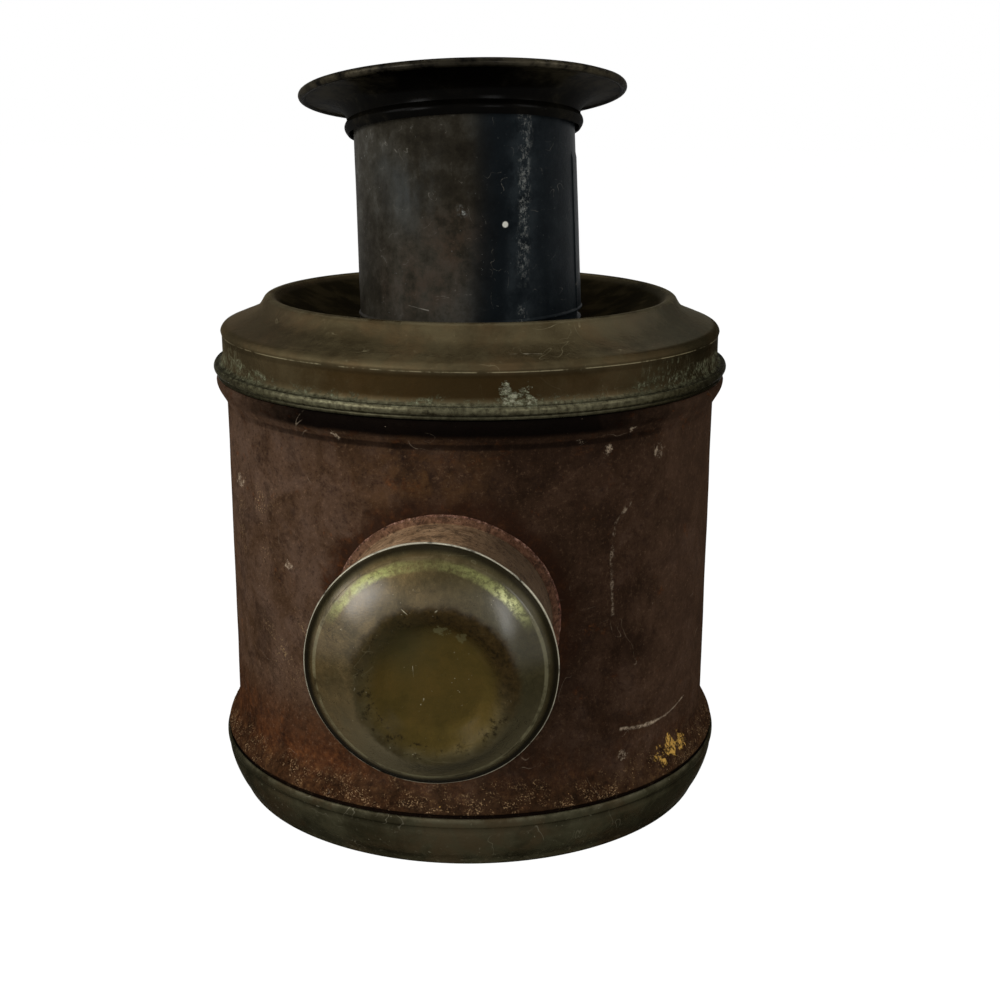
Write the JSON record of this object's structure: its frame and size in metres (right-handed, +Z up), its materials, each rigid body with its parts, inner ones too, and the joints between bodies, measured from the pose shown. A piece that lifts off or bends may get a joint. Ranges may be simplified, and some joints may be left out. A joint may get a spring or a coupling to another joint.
{
  "type": "railroad switch lantern",
  "caption": "Railway lantern with a round iron drum, brass base and crown, tilted chimney hat, capped light port, oil fount and flat wick burner",
  "frame": {"origin": "centre of the base's flat underside", "axes": "+Z up through the drum, -Y out of the light port, +X to the right when one faces the port"},
  "size_m": [0.2116, 0.2548, 0.2979],
  "materials": {
    "drum_iron": "dull brown oxidised sheet with rust",
    "base_brass": "dark tarnish with dull green",
    "crown_brass": "dark tarnish with copper patches",
    "cap_brass": "olive tarnish, rubbed bright on the ring",
    "port_copper": "dusty brown",
    "black_tin": "soot black gloss worn at the edges",
    "iron_wire": "plain",
    "bright_tin": "dull tin",
    "burner_brass": "aged",
    "lens_glass": "clear",
    "wick_cotton": "plain"
  },
  "bodies": {
    "case": {"base_pan": "base_brass", "fount_ring": "base_brass", "body_drum": "drum_iron", "port_flange": "port_copper", "port_tube": "port_copper", "lens_seat": "port_copper", "lens": "lens_glass", "lens_ring": "port_copper", "reflector": "bright_tin", "reflector_bracket": "bright_tin", "reflector_rivet": "bright_tin"},
    "crown": {"crown_shell": "crown_brass", "crown_wire": "iron_wire", "crown_collar": "black_tin", "heat_baffle": "black_tin", "baffle_rivets": "bright_tin"},
    "chimney": {"chimney_tube": "black_tin"},
    "hat": {"hat_trumpet": "black_tin", "hat_wire": "iron_wire"},
    "cap": {"port_cap": "cap_brass"},
    "fount": {"fount_shell": "burner_brass", "burner_collar": "burner_brass", "filler_neck": "burner_brass"},
    "stopper": {"filler_cap": "burner_brass"},
    "burner": {"burner_body": "burner_brass", "wick_tube": "burner_brass", "burner_cone": "burner_brass"},
    "winder": {"wick_spindle": "burner_brass", "wick_wheels": "burner_brass", "wick_knob": "burner_brass"},
    "wick": {"wick": "wick_cotton"}
  },
  "joints": [
    {"name": "crown_lift", "type": "slide", "parent": "case", "child": "crown", "axis": [0, 0, 1], "range_m": [0, 0.04]},
    {"name": "chimney_lift", "type": "slide", "parent": "crown", "child": "chimney", "axis": [0, 0, 1], "range_m": [0, 0.03]},
    {"name": "hat_lift", "type": "slide", "parent": "chimney", "child": "hat", "axis": [-0.0347, -0.0037, 0.9994], "range_m": [0, 0.025]},
    {"name": "cap_pull", "type": "slide", "parent": "case", "child": "cap", "axis": [0, -1, 0], "range_m": [0, 0.03]},
    {"name": "fount_lift", "type": "slide", "parent": "case", "child": "fount", "axis": [0, 0, 1], "range_m": [0, 0.08]},
    {"name": "filler_cap_lift", "type": "slide", "parent": "fount", "child": "stopper", "axis": [0, 0, 1], "range_m": [0, 0.015]},
    {"name": "burner_turn", "type": "hinge", "parent": "fount", "child": "burner", "pos_m": [0, 0, 0.0516], "axis": [0, 0, 1], "range_deg": [0, 90]},
    {"name": "knob_turn", "type": "hinge", "parent": "burner", "child": "winder", "pos_m": [0, 0.0042, 0.0602], "axis": [1, 0, 0], "range_deg": [-110, 70]},
    {"name": "wick_raise", "type": "slide", "parent": "burner", "child": "wick", "axis": [0, 0, 1], "range_m": [-0.00391, 0.00615]}
  ],
  "couplings": [
    {"joint": "wick_raise", "follows": "knob_turn", "m_per_rad": -0.0032}
  ]
}
